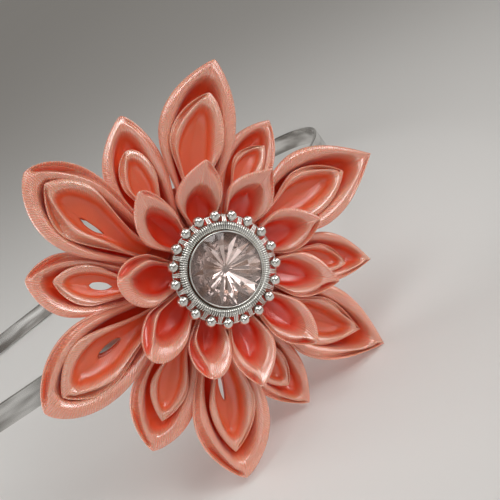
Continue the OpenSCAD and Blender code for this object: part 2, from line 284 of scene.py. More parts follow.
@dataclass(frozen=True)
class SatinFinish:
    """Satin ribbon: fine ribs across the fold and soft gloss; its colour is paler on the rim, a painted
    sheen, and deeper in the bowls, a painted shade.

    Pitches and heights are in millimetres of cloth. A range holds where a smooth step
    starts and ends, and depth, which sets the painted shade, runs from 0 at the rim to 1 at a
    bowl's floor.
    """

    name: str
    # rim is paler as painted sheen, bowl is deeper as painted shade
    rim: Colour
    bowl: Colour
    bowl_shade_range: Pair = (0.08, 0.55)
    rib_pitch: float = 0.46
    rib_drift: float = 0.12
    rib_height: float = 0.085
    # rib_shade: how far the furrows are painted toward the bowl colour, a painted shade
    rib_shade: float = 0.42
    pick_pitch: float = 0.31
    pick_drift: float = 0.2
    pick_share: float = 0.25
    drift_grain: float = 0.9
    patch_grain: float = 1.3
    patch_range: Pair = (0.3, 0.6)
    patch_least: float = 0.5
    plain_range: Pair = (0.05, 0.5)
    plain_share: float = 0.85
    cloud_grain: float = 260.0
    cloud_range: Pair = (0.35, 0.7)
    cloud_shade: float = 0.1
    roughness: float = 0.34
    furrow_rough: float = 0.2
    cloud_rough: float = 0.05
    gloss: float = 2.5
    gloss_roughness: float = 0.25
    furrow_dull: float = 0.65
    bowl_dull: float = 0.78
    specular: float = 0.7
    sheen: float = 0.38
    sheen_roughness: float = 0.35
    sheen_tint: Colour = (1.0, 0.86, 0.82, 1.0)
    glow: float = 0.35
    glow_reach: Triple = (1.0, 0.25, 0.12)
    glow_depth: float = 1.6

    def build(self) -> bpy.types.Material:
        """Makes the satin, which reads the petal's own weave map and depth.

        Returns:
            The material.
        """
        material, bench, shader = new_material(self.name)
        weave = bench.add("ShaderNodeUVMap", {"uv_map": "weave"}, {})
        along = bench.add("ShaderNodeSeparateXYZ", {}, {0: weave}, "X")
        across = bench.add("ShaderNodeSeparateXYZ", {}, {0: weave}, "Y")
        depth = bench.add("ShaderNodeAttribute", {"attribute_name": "depth"}, {}, "Fac")
        cloud = bench.noise(bench.object_place(), self.cloud_grain)
        drift = bench.noise(weave, self.drift_grain, detail=2.0)
        ribs = (along + drift * self.rib_drift).wave(self.rib_pitch)
        picks = (across + drift * self.pick_drift).wave(self.pick_pitch)
        patchy = bench.noise(weave, self.patch_grain, detail=2.0).smooth(*self.patch_range)
        shown = patchy * (1 - self.patch_least) + self.patch_least
        shown = shown * (1.0 - depth.smooth(*self.plain_range) * self.plain_share)
        furrow = (1.0 - ribs) * shown
        # Painted shade: the colour runs from the pale rim, a painted sheen, to the deep bowl colour as depth
        # grows
        bowl_shade = depth.smooth(*self.bowl_shade_range)
        colour = bench.blend(bowl_shade, self.rim, self.bowl)
        # Painted shade in the furrows between the ribs, mostly on the rims
        colour = bench.blend(furrow * self.rib_shade, colour, self.bowl)
        colour = bench.blend(cloud.smooth(*self.cloud_range) * self.cloud_shade, colour, self.bowl)
        bench.paint(shader, {
            "Base Color": colour,
            "Roughness": self.roughness + furrow * self.furrow_rough + cloud * self.cloud_rough,
            "Coat Weight": (1.0 - furrow * self.furrow_dull) * (1.0 - bowl_shade * self.bowl_dull),
            "Coat Roughness": self.gloss_roughness,
            "Coat IOR": self.gloss,
            "Normal": bench.bump((ribs + picks * self.pick_share) * shown, 1.0, self.rib_height),
            "Specular IOR Level": self.specular,
            "Sheen Weight": self.sheen,
            "Sheen Roughness": self.sheen_roughness,
            "Sheen Tint": self.sheen_tint,
            "Subsurface Weight": self.glow,
            "Subsurface Radius": self.glow_reach,
            "Subsurface Scale": self.glow_depth * MM,
        })
        return material


@dataclass(frozen=True)
class MetalFinish:
    """Bright metal with a little tarnish and fine scratches."""

    name: str
    bright: Colour
    dull: Colour
    roughness: float
    grain: float = 900.0
    patch_share: float = 0.25
    tarnish: float = 0.6
    tarnish_range: Pair = (0.45, 0.75)
    tarnish_rough: float = 0.12
    grain_rough: float = 0.05
    dent: float = 0.004
    dent_strength: float = 0.35

    def build(self) -> bpy.types.Material:
        """Makes the metal.

        Returns:
            The material.
        """
        material, bench, shader = new_material(self.name)
        place = bench.object_place()
        fine = bench.noise(place, self.grain, detail=2.0)
        worn = bench.noise(place, self.grain * self.patch_share, detail=4.0).smooth(*self.tarnish_range)
        bench.paint(shader, {
            "Base Color": bench.blend(worn * self.tarnish, self.bright, self.dull),
            "Roughness": self.roughness + worn * self.tarnish_rough + fine * self.grain_rough,
            "Metallic": 1.0,
            "Normal": bench.bump(fine, self.dent_strength, self.dent),
        })
        return material


@dataclass(frozen=True)
class StripFinish:
    """Drawn steel strip: long scratches along it, and wide, slightly rougher patches whose dark colour is
    painted reflection.
    """

    name: str = "drawn_steel"
    bright: Colour = (0.80, 0.79, 0.77, 1.0)
    # dull is the colour of the painted dark reflections
    dull: Colour = (0.17, 0.15, 0.13, 1.0)
    scratch_scale: Triple = (0.05, 9.0, 1.0)
    scratch_depth: float = 0.004
    scratch_strength: float = 0.15
    scratch_rough: float = 0.06
    reflection_scale: Triple = (0.05, 0.30, 1.0)
    reflection_range: Pair = (0.38, 0.62)
    reflection_shade: float = 0.8
    reflection_rough: float = 0.04
    roughness: float = 0.11

    def build(self) -> bpy.types.Material:
        """Makes the steel, which reads the strip's own map.

        Returns:
            The material.
        """
        material, bench, shader = new_material(self.name)
        strip = bench.add("ShaderNodeUVMap", {"uv_map": "strip"}, {})
        scratch = bench.noise(bench.stretched(strip, self.scratch_scale), 1.0, detail=4.0, rough=0.7)
        cloud = bench.noise(bench.stretched(strip, self.reflection_scale), 1.0, detail=2.0, rough=0.4)
        dark_reflection = cloud.smooth(*self.reflection_range)
        bench.paint(shader, {
            # Painted reflection: the dark patches stand in for dark surroundings seen in the steel
            "Base Color": bench.blend(dark_reflection * self.reflection_shade, self.bright, self.dull),
            "Roughness": self.roughness + scratch * self.scratch_rough + dark_reflection * self.reflection_rough,
            "Metallic": 1.0,
            "Normal": bench.bump(scratch, self.scratch_strength, self.scratch_depth),
        })
        return material


@dataclass(frozen=True)
class FeltFinish:
    """Matted wool felt, its colours deepened as painted shade, since it is seen only in the gaps between
    petals.
    """

    name: str = "peach_felt"
    # colour and shade are deepened: painted shade
    colour: Colour = (0.74, 0.27, 0.17, 1.0)
    shade: Colour = (0.58, 0.17, 0.10, 1.0)
    tuft_grain: float = 1400.0
    tuft_share: float = 0.6
    tuft_height: float = 0.12
    tuft_strength: float = 0.8
    tuft_rough: float = 0.08
    cloud_grain: float = 180.0
    colour_range: Pair = (0.35, 0.7)
    roughness: float = 0.9
    sheen: float = 0.5

    def build(self) -> bpy.types.Material:
        """Makes the felt.

        Returns:
            The material.
        """
        material, bench, shader = new_material(self.name)
        place = bench.object_place()
        tufts = bench.noise(place, self.tuft_grain, detail=5.0, rough=0.7)
        cloud = bench.noise(place, self.cloud_grain)
        share = (tufts * self.tuft_share + cloud * (1 - self.tuft_share)).smooth(*self.colour_range)
        bench.paint(shader, {
            "Base Color": bench.blend(share, self.shade, self.colour),
            "Roughness": self.roughness + tufts * self.tuft_rough,
            "Normal": bench.bump(tufts, self.tuft_strength, self.tuft_height),
            "Sheen Weight": self.sheen,
        })
        return material


@dataclass(frozen=True)
class StoneFinish:
    """Champagne cut glass, clear in front; its back facets carry a foil."""

    name: str = "champagne_glass"
    tint: Colour = (0.96, 0.87, 0.84, 1.0)
    pale: Colour = (0.99, 0.90, 0.88, 1.0)
    brown: Colour = (0.56, 0.41, 0.34, 1.0)
    bending: float = 1.56
    speck_grain: float = 700.0
    speck_range: Pair = (0.7, 0.8)
    speck_tint: float = 0.1
    speck_rough: float = 0.04
    polish: float = 0.005
    cloud_grain: float = 420.0
    cloud_share: float = 0.5
    brown_range: Pair = (0.45, 0.95)
    facet_rough: float = 0.25
    foil_polish: float = 0.03
    foil_dull: float = 0.32

    def build(self) -> bpy.types.Material:
        """Makes the clear front.

        Returns:
            The material.
        """
        material, bench, shader = new_material(self.name)
        speck = bench.noise(bench.object_place(), self.speck_grain, detail=2.0).smooth(*self.speck_range)
        bench.paint(shader, {
            "Base Color": bench.blend(speck * self.speck_tint, self.tint, self.pale),
            "Roughness": speck * self.speck_rough + self.polish,
            "Transmission Weight": 1.0,
            "IOR": self.bending,
        })
        return material

    def build_foil(self) -> bpy.types.Material:
        """Makes the foiled back, each facet a little different.

        Returns:
            The material.
        """
        material, bench, shader = new_material(self.name + "_foil")
        facet = bench.add("ShaderNodeAttribute", {"attribute_name": "facet"}, {}, "Fac")
        cloud = bench.noise(bench.object_place(), self.cloud_grain, detail=2.0)
        mixed = facet + cloud * self.cloud_share - self.cloud_share / 2
        bench.paint(shader, {
            "Base Color": bench.blend(mixed.smooth(*self.brown_range), self.pale, self.brown),
            "Roughness": facet * facet * self.facet_rough + self.foil_polish,
            "Metallic": 1.0 - cloud * self.foil_dull,
        })
        return material


# Meshes


def new_piece(
    name: str, points: np.ndarray, faces: Sequence[Sequence[int]], smooth: bool = True
) -> bpy.types.Object:
    """Makes an object from points of the flower's frame.

    Args:
        name: the piece's name.
        points: n by 3, in millimetres.
        faces: corner numbers, counter-clockwise seen from outside.
        smooth: shade it smooth.

    Returns:
        The object, at the origin, with its place in its mesh.
    """
    mesh = bpy.data.meshes.new(name)
    mesh.from_pydata(REST.place(points).tolist(), [], [tuple(f) for f in faces])
    mesh.polygons.foreach_set("use_smooth", [smooth] * len(mesh.polygons))
    mesh.update()
    piece = bpy.data.objects.new(name, mesh)
    bpy.context.scene.collection.objects.link(piece)
    return piece


def finish_piece(
    piece: bpy.types.Object, materials: Sequence[bpy.types.Material], slot: str, *nodes: str
) -> None:
    """Gives a piece its materials and its body, and hides the nodes it stands for.

    Args:
        piece: the finished object.
        materials: one for each of its material numbers.
        slot: the record's material slot; not used.
        nodes: the part's nodes that it replaces, if any.
    """
    piece.data.materials.clear()
    for material in materials:
        piece.data.materials.append(material)
    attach(piece, BODY)
    if nodes:
        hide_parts(*nodes)
    log.info("%s: %d faces", piece.name, len(piece.data.polygons))


def grid_faces(rows: int, columns: int, close_rows: bool, close_columns: bool) -> list[Quad]:
    """Quads of a grid of points numbered row by row.

    Args:
        rows: how many rows.
        columns: how many points in each.
        close_rows: join the last row to the first.
        close_columns: join each row's last point to its first.

    Returns:
        The quads.
    """
    last_row = rows if close_rows else rows - 1
    last_column = columns if close_columns else columns - 1
    return [
        (i * columns + j, i * columns + (j + 1) % columns,
         (i + 1) % rows * columns + (j + 1) % columns, (i + 1) % rows * columns + j)
        for i in range(last_row) for j in range(last_column)
    ]


def lathe(profile: Sequence[Pair], steps: int) -> tuple[np.ndarray, list[Quad]]:
    """Turns a closed profile of (radius, height) about the flower's axis.

    Args:
        profile: the section, counter-clockwise.
        steps: how many stations round.

    Returns:
        Points and quads.
    """
    angles = np.linspace(0, math.tau, steps, endpoint=False)
    section = np.array(profile)
    points = np.stack([
        np.outer(np.cos(angles), section[:, 0]), np.outer(np.sin(angles), section[:, 0]),
        np.outer(np.ones(steps), section[:, 1])], axis=2).reshape(-1, 3)
    return points, [tuple(reversed(f)) for f in grid_faces(steps, len(section), True, True)]


def ease(x: np.ndarray) -> np.ndarray:
    """A smooth step from 0 to 1."""
    c = np.clip(x, 0.0, 1.0)
    return c * c * (3 - 2 * c)


def rise(x: np.ndarray, low: float, high: float) -> np.ndarray:
    """0 below low, 1 above high and a smooth step between."""
    return ease((x - low) / (high - low))


def polar(radius: float, degrees: float) -> np.ndarray:
    """The point at this distance and angle from the flower's axis."""
    return radius * np.array([math.cos(math.radians(degrees)), math.sin(math.radians(degrees))])


def circle(middle: Pair, radius: float, sides: int) -> list[Pair]:
    """A round section for lathe, counter-clockwise."""
    angles = np.linspace(0, math.tau, sides, endpoint=False)
    return [(middle[0] + radius * math.cos(a), middle[1] + radius * math.sin(a)) for a in angles]


def monotone(knots: np.ndarray, values: np.ndarray, at: np.ndarray) -> np.ndarray:
    """A smooth curve through values that never overshoots them.

    Args:
        knots: rising places of the values.
        values: one value at each knot.
        at: where the curve is wanted.

    Returns:
        The curve's values there.
    """
    step = np.diff(knots)
    slope = np.diff(values) / step
    tangent = np.zeros_like(values)
    inner = slope[:-1] * slope[1:]
    weight_a, weight_b = 2 * step[1:] + step[:-1], step[1:] + 2 * step[:-1]
    safe = np.where(inner > 0, 1.0, 0.0)
    bottom = weight_a / np.where(inner > 0, slope[:-1], 1) + weight_b / np.where(inner > 0, slope[1:], 1)
    tangent[1:-1] = safe * (weight_a + weight_b) / np.where(inner > 0, bottom, 1)
    tangent[0], tangent[-1] = slope[0], slope[-1]
    i = np.clip(np.searchsorted(knots, at, side="right") - 1, 0, len(step) - 1)
    h, t = step[i], (at - knots[i]) / step[i]
    return (values[i] * (1 + 2 * t) * (1 - t) ** 2 + tangent[i] * h * t * (1 - t) ** 2
            + values[i + 1] * t * t * (3 - 2 * t) + tangent[i + 1] * h * t * t * (t - 1))


# Petals


class Lip(Enum):
    """The side of a petal where its second lip runs, seen from the jewel's side."""

    CLOCKWISE = -1
    COUNTER_CLOCKWISE = 1


# Section of the folded cloth, outside to inside, one row per fold line. Across and reach
# are shares of the half width, drop is a share of the depth, and upper is 1 from the rim
# inwards. Where the second lip is full, the lip columns take the place of across and
# drop. Lines says how many lines of points lead up to the next row.
ACROSS, REACH, DROP, UPPER, LIP_ACROSS, LIP_DROP, LINES = range(7)
FOLD = np.array([
    [1.000, 0.82, 1.00, 0, 1.000, 1.00, 4],
    [0.640, 0.62, 0.93, 0, 0.640, 0.93, 4],
    [0.360, 0.34, 0.74, 0, 0.360, 0.74, 4],
    [0.140, 0.14, 0.42, 0, 0.140, 0.42, 4],
    [0.000, 0.00, 0.15, 0, 0.000, 0.15, 3],
    [0.012, 0.01, 0.09, 1, 0.022, 0.04, 2],
    [0.035, 0.04, 0.05, 1, 0.062, 0.13, 3],
    [0.070, 0.08, 0.02, 1, 0.130, 0.52, 4],
    [0.110, 0.12, 0.00, 1, 0.225, 0.40, 3],
    [0.160, 0.19, 0.00, 1, 0.285, 0.00, 3],
    [0.260, 0.33, 0.05, 1, 0.345, 0.03, 3],
    [0.350, 0.45, 0.15, 1, 0.410, 0.15, 3],
    [0.410, 0.57, 0.48, 1, 0.462, 0.48, 4],
    [0.460, 0.70, 0.75, 1, 0.505, 0.75, 3],
    [0.600, 0.82, 0.89, 1, 0.615, 0.89, 3],
    [0.800, 0.91, 0.96, 1, 0.800, 0.96, 3],
    [1.000, 0.97, 1.00, 1, 1.000, 1.00, 0],
])
# The row on top of the rim, along which the cloth's length is measured
RIM_ROW = 9


@dataclass(frozen=True)
class PetalKind:
    """What the petals of one ring share.

    Rim is the rim's height and depth how deep the petal is, in millimetres at the tip, the
    middle and the base. The two lights are painted light: they make the cloth paler near the
    tip and in the slot between the lips. Flat, the size of the cloth in metres, is not used.
    """

    ring: str
    rim: Triple
    depth: Triple
    base_radius: float
    base_share: float
    lip: Lip
    slot: str
    flat: Pair
    taper: float = 0.8
    # tip_light and slot_light are painted light: they take painted shade off near the tip and in the slot
    tip_light: float = 0.25
    bowl_reach: float = 0.0
    lip_thin: float = 0.35
    slot_light: float = 0.7
    cloth: float = 0.45
    stations: int = 44


@dataclass(frozen=True)
class Petal:
    """One petal's place and outline, with angles in degrees and lengths in millimetres.

    Bow is how far its middle bends, counter-clockwise if positive. Widest is the share of
    its length where it is widest. Lift raises all of it. Hole is half the width of the hole
    in its floor, or 0. Lip_open says how wide its second lip stands open.
    """

    tip_angle: float
    tip_radius: float
    half_width: float
    base_angle: float
    bow: float
    widest: float
    fullness: float
    lift: float
    hole: float
    lip_open: float


@dataclass(frozen=True)
class Bowl:
    """How one petal's bowl differs from the others.

    Hole_at and hole_span are shares of the petal's length. Floor_aside and wall_aside move
    the floor and the wall by millimetres, counter-clockwise if positive, and reach moves
    the bowl away from the tip by this share of the half width.
    """

    hole_at: float = 0.46
    hole_span: float = 0.15
    floor_aside: float = 0.0
    reach: float = 0.0
    wall_aside: float = 0.0


BOWLS: dict[str, Bowl] = {
    "large_outer_4": Bowl(0.43, 0.16, floor_aside=0.4),
    "large_outer_5": Bowl(0.40, 0.13),
    "large_outer_6": Bowl(0.38, 0.12, floor_aside=0.4),
    "small_outer_5": Bowl(0.42, 0.13),
    "large_inner_4": Bowl(0.46, 0.16, floor_aside=-0.6),
    "large_inner_5": Bowl(0.38, 0.15),
    "large_inner_6": Bowl(0.35, 0.14, floor_aside=0.4, wall_aside=-0.9),
    "small_inner_5": Bowl(0.38, 0.16),
    "top_petal_1": Bowl(0.40, 0.25, floor_aside=-0.7, reach=0.25),
    "top_petal_2": Bowl(0.40, 0.25, reach=0.12),
    "top_petal_3": Bowl(0.40, 0.25, reach=-0.1),
    "top_petal_9": Bowl(0.40, 0.25, reach=-0.15),
    "top_petal_10": Bowl(0.40, 0.25, floor_aside=-0.8, reach=0.15),
}


@dataclass
class PetalShape:
    """Sweeps the section of one petal round its outline.

    In its methods s is the share of the way from tip to base, side is -1, 0 or 1, and
    lines is the section. A range holds where a smooth step starts and ends.
    """

    petal: Petal
    kind: PetalKind
    bowl: Bowl = Bowl()
    crowding: float = 1.35
    least_chord: float = 0.15
    least_outline: float = 0.1
    least_hole: float = 1e-4
    lip_full: float = 0.05
    lip_narrow: Pair = (0.10, 0.42)
    lip_gone: Pair = (0.50, 0.90)
    lip_most: float = 2.6
    lip_drop_most: float = 1.2
    mouth_range: Pair = (0.15, 0.35)
    floor_range: Pair = (0.5, 1.0)
    aside_range: Pair = (0.15, 0.65)
    wall_range: Pair = (0.1, 0.35)
    wall_ends: Pair = (0.5, 0.9)
    wall_stretch: float = 1.25
    hole_range: Pair = (0.6, 1.0)
    round_range: Pair = (0.12, 0.52)
    round_fullness: float = 0.52
    cloth_range: Pair = (0.1, 0.5)
    ripple: float = 0.07
    ripple_along: float = 9.0
    ripple_sides: float = 5.0
    ripple_turn: float = 0.37
    slot_range: Pair = (0.25, 0.35)
    tip_range: Pair = (0.08, 0.68)

    def through(self, s: np.ndarray, ends: Triple) -> np.ndarray:
        """A parabola through three values at the tip, middle and base."""
        tip, mid, base = ends
        return tip * (1 - s) * (1 - 2 * s) + 4 * mid * s * (1 - s) + base * s * (2 * s - 1)

    def outline(self, s: np.ndarray, inside: np.ndarray) -> np.ndarray:
        """The half width's share at each place, pointed at the rim and round inside it.

        Args:
            s: places along the petal.
            inside: 0 at the rim to 1 in the bowl.

        Returns:
            The shares, from 0 at the tip.
        """
        p = self.petal
        fullness = p.fullness + (self.round_fullness - p.fullness) * inside
        swell = np.sin(math.pi / 2 * np.clip(s / p.widest, 0, 1) ** fullness)
        fall = np.clip((s - p.widest) / (1 - p.widest), 0, 1) ** self.kind.taper
        share = self.kind.base_share
        return np.where(s <= p.widest, swell, share + (1 - share) * np.cos(math.pi / 2 * fall) ** 2)

    def lip_share(self, s: np.ndarray) -> np.ndarray:
        """How much of the second lip there is at each place."""
        thin = self.kind.lip_thin + (1 - self.kind.lip_thin) * (1 - rise(s, *self.lip_narrow))
        return rise(s, 0, self.lip_full) * thin * (1 - rise(s, *self.lip_gone))

    def section(self) -> np.ndarray:
        """Draws smooth curves between the fold lines.

        Returns:
            One row per line of points, with FOLD's columns up to LIP_DROP.
        """
        width = np.diff(FOLD[:, ACROSS]) * self.petal.half_width
        chord = np.hypot(width, np.diff(FOLD[:, DROP]) * self.kind.depth[1])
        knots = np.concatenate([[0], np.cumsum(np.maximum(chord, self.least_chord))])
        spans = [
            np.linspace(knots[i], knots[i + 1], int(FOLD[i, LINES]), endpoint=False)
            for i in range(len(FOLD) - 1)
        ]
        at = np.concatenate(spans + [knots[-1:]])
        return np.stack([monotone(knots, FOLD[:, column], at) for column in range(LINES)], axis=1)

    def places(self) -> tuple[np.ndarray, np.ndarray]:
        """Sets the stations from one base end over the tip to the other, closer at the tip.

        Returns:
            s and side, each as a column.
        """
        half = np.linspace(0, 1, self.kind.stations) ** self.crowding
        right = np.ones(len(half) - 1)
        return np.concatenate([half[:0:-1], half])[:, None], np.concatenate([-right, [0], right])[:, None]

    def folded(self, s: np.ndarray, side: np.ndarray, lines: np.ndarray) -> tuple[np.ndarray, np.ndarray]:
        """Bends the section to the second lip where that runs.

        Args:
            s: places along the petal.
            side: their sides.
            lines: the section.

        Returns:
            Across and drop, each (stations, lines).
        """
        narrow = np.maximum(self.outline(s, np.zeros_like(s)), self.least_outline)
        open_by = np.minimum(self.petal.lip_open * np.minimum(1 / narrow, self.lip_most), self.lip_most)
        lip = np.where(side == self.kind.lip.value, self.lip_share(s), 0.0) * open_by
        across = lines[:, ACROSS] + (lines[:, LIP_ACROSS] - lines[:, ACROSS]) * lip
        dropped = np.minimum(lip, self.lip_drop_most)
        return across, lines[:, DROP] + (lines[:, LIP_DROP] - lines[:, DROP]) * dropped

    def reach(self, across: np.ndarray, lines: np.ndarray) -> np.ndarray:
        """How far from the tip each line of points starts, in millimetres."""
        further = (self.kind.bowl_reach + self.bowl.reach) * rise(across, *self.mouth_range) * lines[:, UPPER]
        return (lines[:, REACH] + further * (1 - rise(across, *self.floor_range) / 2)) * self.petal.half_width

    def hole_share(self, s: np.ndarray) -> np.ndarray:
        """The way from the hole's middle: -1 and 1 are its ends."""
        return (s - self.bowl.hole_at) / self.bowl.hole_span

    def hole_width(self, s: np.ndarray) -> np.ndarray:
        """Half the hole's width at each place, in millimetres."""
        return self.petal.hole * np.sqrt(np.clip(1 - self.hole_share(s) ** 2, 0, 1))

    def aside(self, s: np.ndarray, across: np.ndarray) -> np.ndarray:
        """How far the bowl's floor and wall are moved sideways.

        Args:
            s: places along the petal.
            across: the bent section's shares of the half width.

        Returns:
            Millimetres, (stations, lines).
        """
        floor = rise(across, *self.aside_range) * np.exp(-(self.hole_share(s) / 2) ** 2)
        wall = rise(across, *self.wall_range) * (1 - rise(across, *self.wall_ends))
        wall = wall * np.sin(math.pi * np.clip(s * self.wall_stretch, 0, 1))
        return self.bowl.floor_aside * floor + self.bowl.wall_aside * wall

    def half_widths(self, s: np.ndarray, across: np.ndarray, lines: np.ndarray) -> np.ndarray:
        """How far each line of points is from the petal's middle line.

        Args:
            s: places along the petal.
            across: the bent section's shares of the half width.
            lines: the section.

        Returns:
            Millimetres, (stations, lines).
        """
        inside = rise(across, *self.round_range) * ease(lines[:, UPPER])
        hole = rise(across, *self.hole_range) * self.hole_width(s)
        return self.petal.half_width * (1 - across) * self.outline(s, inside) + hole

    def ripples(self, s: np.ndarray, side: np.ndarray) -> np.ndarray:
        """The slight unevenness of a hand-made fold.

        Args:
            s: places along the petal.
            side: their sides.

        Returns:
            Millimetres of height at each station.
        """
        turned = self.petal.tip_angle
        along = np.sin(s * self.ripple_along + turned)
        sides = np.cos(side * s * self.ripple_sides + turned * self.ripple_turn)
        return self.ripple * along * sides * (1 - s)

    def weave(self, points: np.ndarray) -> np.ndarray:
        """Measures the cloth along the rim and round the fold.

        Args:
            points: the petal's points, (stations, lines, 3).

        Returns:
            The map, (stations, lines, 2), in millimetres.
        """
        rim_line = points[:, int(FOLD[:RIM_ROW, LINES].sum()), :]
        along = np.concatenate([[0], np.cumsum(np.linalg.norm(np.diff(rim_line, axis=0), axis=1))])
        steps = np.linalg.norm(np.diff(points, axis=1), axis=2)
        across = np.concatenate([np.zeros((len(points), 1)), np.cumsum(steps, axis=1)], axis=1)
        return np.stack([np.repeat(along[:, None], across.shape[1], axis=1), across], axis=2)

    def depth(self, s: np.ndarray, drop: np.ndarray, lines: np.ndarray) -> np.ndarray:
        """Works out how deep the satin's painted shade is, from 0 at the rim, less where it is painted paler.

        Args:
            s: places along the petal.
            drop: the bent section's shares of the depth.
            lines: the section.

        Returns:
            The depth, (stations, lines).
        """
        # Painted light near the tip and in the slot lowers the painted shade
        inner = rise(lines[:, ACROSS], *self.slot_range)
        tip = self.kind.tip_light * (1 - rise(s, *self.tip_range)) * inner
        return np.clip(drop, 0, 1) * (1 - tip - self.kind.slot_light * (1 - inner) * lines[:, UPPER])

    def points(self) -> tuple[np.ndarray, np.ndarray, np.ndarray, np.ndarray]:
        """Works out the whole petal.

        Returns:
            Points (stations, lines, 3) in millimetres, the weave map (stations, lines, 2)
            in millimetres of cloth, the depth of painted shade (stations, lines) from 0 at the rim,
            and which stations have a hole in their floor.
        """
        p, kind = self.petal, self.kind
        tip, base = polar(p.tip_radius, p.tip_angle), polar(kind.base_radius, p.base_angle)
        run = float(np.linalg.norm(base - tip))
        inward = (base - tip) / run
        beside = np.array([inward[1], -inward[0]])
        s, side = self.places()
        lines = self.section()
        across, drop = self.folded(s, side, lines)
        reach = self.reach(across, lines)
        along = reach + (run - reach) * s
        t = along / run
        sideways = 4 * p.bow * t * (1 - t) + side * self.half_widths(s, across, lines) + self.aside(s, across)
        cloth = kind.cloth * ease(lines[:, UPPER]) * rise(drop, *self.cloth_range)
        height = self.through(t, kind.rim) - drop * (self.through(t, kind.depth) - cloth)
        height = height + p.lift + self.ripples(s, side)
        flat = tip + inward * along[..., None] + beside * sideways[..., None]
        points = np.concatenate([flat, height[..., None]], axis=2)
        holed = self.hole_width(s)[:, 0] > self.least_hole
        return points, self.weave(points), self.depth(s, drop, lines), holed

    def joined(self, rows: int, columns: int, holed: np.ndarray) -> np.ndarray:
        """Numbers the points so that the two sides share their floor and keel.

        Args:
            rows: stations from one base end over the tip to the other.
            columns: lines of points round the fold.
            holed: the stations where the floor stays open.

        Returns:
            The point to use for each place of the grid.
        """
        number = np.arange(rows * columns).reshape(rows, columns)
        tip = rows // 2
        for i in range(1, tip + 1):
            if not holed[tip + i]:
                number[tip + i, [0, -1]] = number[tip - i, [0, -1]]
        return number

    def faces(self, rows: int, columns: int, holed: np.ndarray) -> np.ndarray:
        """Lists the quads of the fold, its hole's inner edge and its two base ends.

        Args:
            rows: stations from one base end over the tip to the other.
            columns: lines of points round the fold.
            holed: the stations where the floor stays open.

        Returns:
            Places of the grid, n by 4.
        """
        faces: list[Quad] = []
        for i in range(rows - 1):
            last = columns if holed[i] or holed[i + 1] else columns - 1
            for j in range(last):
                k = (j + 1) % columns
                faces.append((i * columns + j, (i + 1) * columns + j, (i + 1) * columns + k, i * columns + k))
        for start, order in ((0, 1), ((rows - 1) * columns, -1)):
            for j in range(columns // 2 - 1):
                quad = (start + j, start + j + 1, start + columns - 2 - j, start + columns - 1 - j)
                faces.append(quad[::order])
        return np.array(faces)

    def build(self, name: str, satin: bpy.types.Material, node: str) -> None:
        """Makes the petal's mesh with its map and its depth of painted shade, and logs its cloth's size.

        Args:
            name: the piece's name.
            satin: its material.
            node: the part's node that it stands for.
        """
        points, weave, depth, holed = self.points()
        rows, columns = depth.shape
        faces = self.faces(rows, columns, holed)
        number = self.joined(rows, columns, holed).ravel()
        used, mapped = np.unique(number[faces], return_inverse=True)
        piece = new_piece(name, points.reshape(-1, 3)[used], mapped.reshape(-1, 4).tolist())
        mesh = piece.data
        layer = mesh.uv_layers.new(name="weave")
        layer.data.foreach_set("uv", weave.reshape(-1, 2)[faces.ravel()].astype(np.float32).ravel())
        # The depth attribute carries the painted shade that the satin reads
        shade = mesh.attributes.new("depth", "FLOAT", "POINT")
        shade.data.foreach_set("value", depth.reshape(-1)[used].astype(np.float32))
        finish_piece(piece, [satin], self.kind.slot, node)
        area = sum(p.area for p in mesh.polygons) / 2
        log.info("%s: cloth %.1f mm square", name, math.sqrt(area) / MM)


# The petals of each ring, clockwise from the top, with the fields of Petal in order
PetalRow = tuple[float, float, float, float, float, float, float, float, float, float]
LARGE_OUTER: list[PetalRow] = [
    (90.5, 40.5, 7.60, 105.0, 2.77, 0.44, 0.85, 0.0, 0.00, 0.0),
    (35.6, 41.1, 8.03, 38.0, 1.58, 0.49, 1.00, 0.0, 0.00, 0.15),
    (-22.6, 39.3, 7.53, -28.6, -0.62, 0.50, 1.00, 0.0, 0.00, 0.5),
    (-81.1, 40.6, 7.60, -87.6, -1.03, 0.39, 0.79, 0.0, 0.60, 0.9),
    (-141.2, 40.9, 7.72, -142.5, -1.35, 0.39, 0.67, 0.0, 0.90, 0.6),
    (154.4, 39.6, 7.50, 167.4, 1.40, 0.35, 0.66, 0.0, 0.60, 1.0),
]
LARGE_INNER: list[PetalRow] = [
    (92.6, 33.8, 5.36, 106.9, 1.69, 0.47, 0.74, 0.6, 0.00, 1.1),
    (36.4, 33.7, 4.96, 41.5, 0.76, 0.49, 0.84, 0.0, 0.00, 0.9),
    (-21.4, 33.1, 4.84, -24.1, -1.39, 0.49, 1.05, 0.0, 0.00, 0.7),
    (-83.3, 35.2, 4.65, -87.0, 0.52, 0.43, 0.87, 0.0, 0.55, 0.3),
    (-141.6, 36.8, 5.35, -143.0, -0.90, 0.35, 0.79, 0.4, 0.70, 1.0),
    (154.8, 35.6, 5.20, 166.5, 1.24, 0.33, 0.79, 0.7, 0.45, 1.6),
]
SMALL_OUTER: list[PetalRow] = [
    (68.3, 32.2, 5.30, 71.2, 1.31, 0.43, 0.88, 0.0, 0.00, 0.2),
    (3.7, 34.7, 5.11, 6.0, 0.95, 0.43, 1.00, 0.0, 0.00, 0.4),
    (-52.4, 33.8, 5.58, -58.3, -1.50, 0.45, 0.88, 0.0, 0.00, 0.6),
    (-108.8, 36.1, 6.50, -112.9, -1.38, 0.36, 0.77, 0.0, 0.00, 1.0),
    (-176.5, 35.3, 5.94, -164.0, 0.81, 0.30, 0.72, 0.0, 1.00, 1.2),
    (122.2, 34.0, 6.17, 134.7, 2.90, 0.44, 0.77, 0.0, 0.00, 0.15),
]
